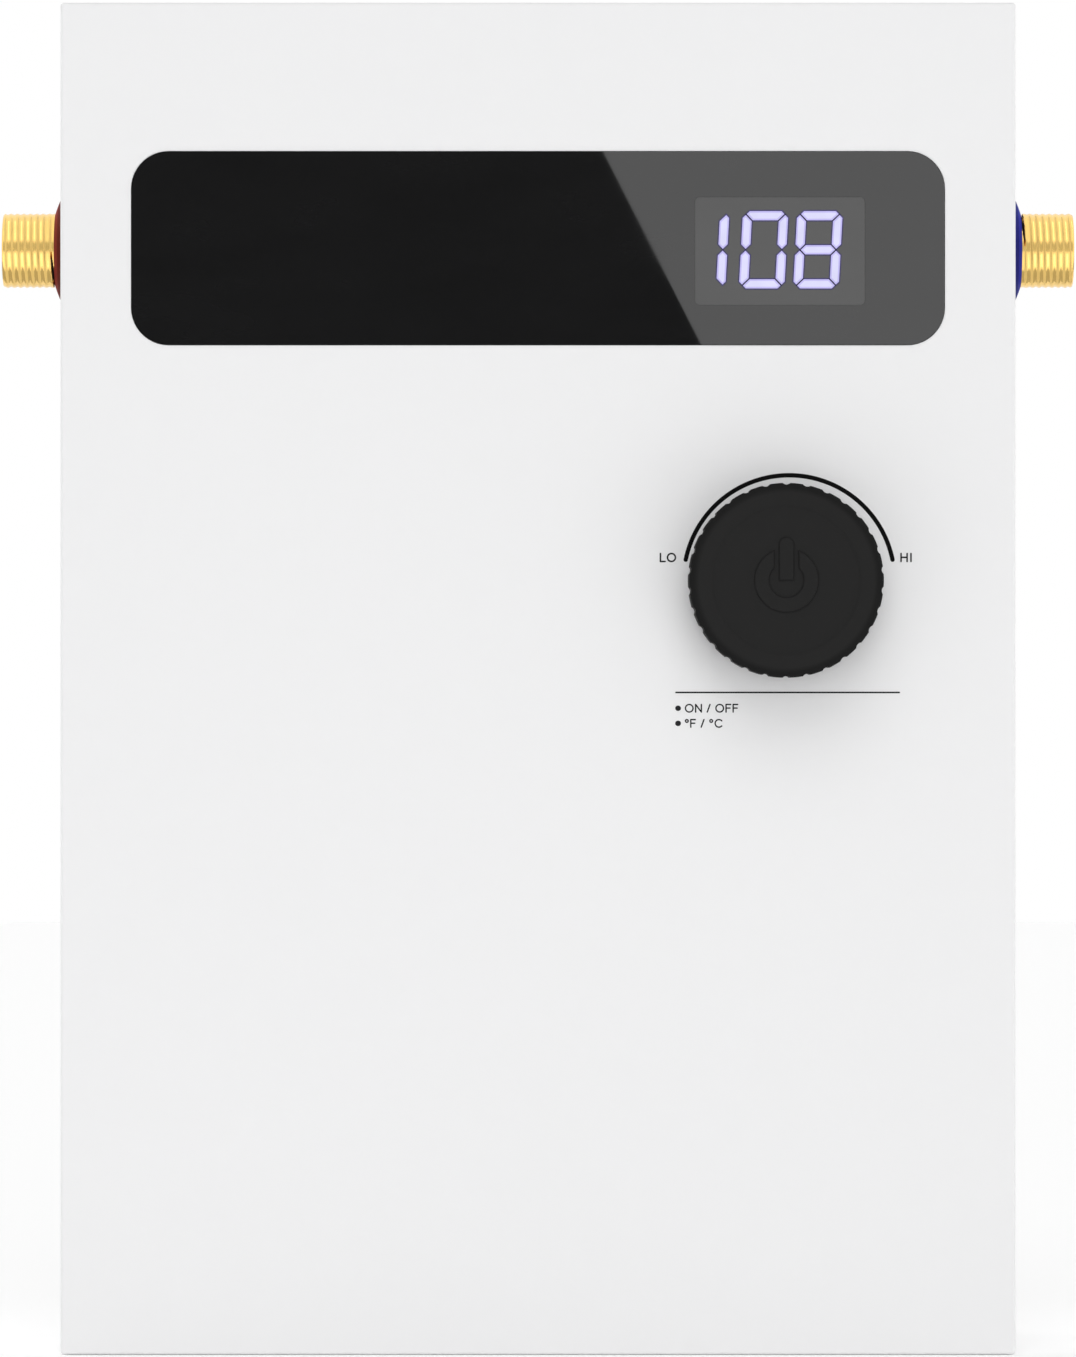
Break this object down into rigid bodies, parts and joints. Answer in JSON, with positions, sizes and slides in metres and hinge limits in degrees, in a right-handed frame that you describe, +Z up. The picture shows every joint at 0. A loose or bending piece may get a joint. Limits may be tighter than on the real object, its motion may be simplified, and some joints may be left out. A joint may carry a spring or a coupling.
{
  "type": "tankless electric water heater",
  "caption": "Flat wall-hung electric instant water heater: folded sheet case, gloss display panel, ribbed push-and-turn knob, threaded brass fitting on each side.",
  "frame": {"origin": "middle of the four wall holes, on the wall plane", "axes": "+X right seen from the front, +Y into the wall, +Z up; the front face looks along -Y"},
  "size_m": [0.3016, 0.102, 0.375],
  "materials": {
    "case_white": "fine satin powder coat",
    "zinc_steel": "bright zinc",
    "grommet_rubber": "matt",
    "panel_black": "polished",
    "carrier_black": "moulded",
    "display_grey": "smoked",
    "segment_glow": "lit",
    "board_green": "solder mask",
    "knob_black": "fine matt",
    "rotor_ivory": "moulded",
    "encoder_zinc": "die cast",
    "dome_steel": "sprung",
    "brass": "turned",
    "collar_blue": "moulded",
    "collar_red": "moulded",
    "gasket_black": "matt",
    "sensor_white": "moulded",
    "turbine_orange": "moulded",
    "part_black": "moulded",
    "copper": "drawn copper",
    "element_steel": "sheathed",
    "saddle_grey": "moulded",
    "cutoff_brown": "moulded",
    "button_red": "moulded",
    "probe_steel": "turned",
    "relay_blue": "moulded",
    "capacitor_navy": "sleeved",
    "lead_red": "insulated",
    "lead_black": "insulated",
    "cable_grey": "insulated"
  },
  "bodies": {
    "case": {"chassis": "case_white", "front_cover": "case_white", "cover_screws": "zinc_steel", "cover_nuts": "zinc_steel", "carrier_nuts": "zinc_steel", "display_screws": "zinc_steel", "encoder_washer": "zinc_steel", "encoder_nut": "zinc_steel", "turbine_axle": "zinc_steel", "tank_straps": "zinc_steel", "strap_nuts": "zinc_steel", "board_screws": "zinc_steel", "terminal_screws": "zinc_steel", "cable_grommet": "grommet_rubber", "display_panel": "panel_black", "display_carrier": "carrier_black", "display_module": "display_grey", "display_segments": "segment_glow", "display_board": "board_green", "encoder_board": "board_green", "power_board": "board_green", "board_connectors": "rotor_ivory", "terminal_block": "rotor_ivory", "encoder_housing": "encoder_zinc", "snap_dome": "dome_steel", "inlet_fitting": "brass", "outlet_fitting": "brass", "coupling_nuts": "brass", "inlet_elbow": "brass", "outlet_elbow": "brass", "bottom_manifold": "brass", "board_standoffs": "brass", "earth_stud": "brass", "inlet_collar": "collar_blue", "outlet_collar": "collar_red", "fitting_gaskets": "gasket_black", "element_gaskets": "gasket_black", "flow_sensor_body": "sensor_white", "flow_sensor_cap": "sensor_white", "flow_pickup": "part_black", "triac_modules": "part_black", "outlet_pipe": "copper", "heater_tube_right": "copper", "heater_tube_left": "copper", "heating_element_right": "element_steel", "heating_element_left": "element_steel", "tank_saddles": "saddle_grey", "thermal_cutoff": "cutoff_brown", "temperature_sensors": "probe_steel", "relays": "relay_blue", "capacitors": "capacitor_navy", "element_leads": "lead_red", "mains_leads": "lead_black", "signal_cables": "cable_grey"},
    "rotor": {"encoder_rotor": "rotor_ivory"},
    "knob": {"control_knob": "knob_black", "encoder_shaft": "zinc_steel", "shaft_clip": "zinc_steel"},
    "turbine": {"flow_turbine": "turbine_orange"},
    "reset": {"reset_button": "button_red"}
  },
  "joints": [
    {"name": "knob_turn", "type": "hinge", "parent": "case", "child": "rotor", "pos_m": [0.0683, -0.08, 0.027], "axis": [0, 1, 0], "continuous": true},
    {"name": "knob_press", "type": "slide", "parent": "rotor", "child": "knob", "axis": [0, 1, 0], "range_m": [0, 0.0015], "stiffness_N_per_m": 2000, "deforming": ["snap_dome"]},
    {"name": "turbine_spin", "type": "hinge", "parent": "case", "child": "turbine", "pos_m": [0.0825, -0.038, 0.1208], "axis": [1, 0, 0], "continuous": true},
    {"name": "reset_press", "type": "slide", "parent": "case", "child": "reset", "axis": [0, 0, -1], "range_m": [0, 0.001], "stiffness_N_per_m": 1500}
  ]
}
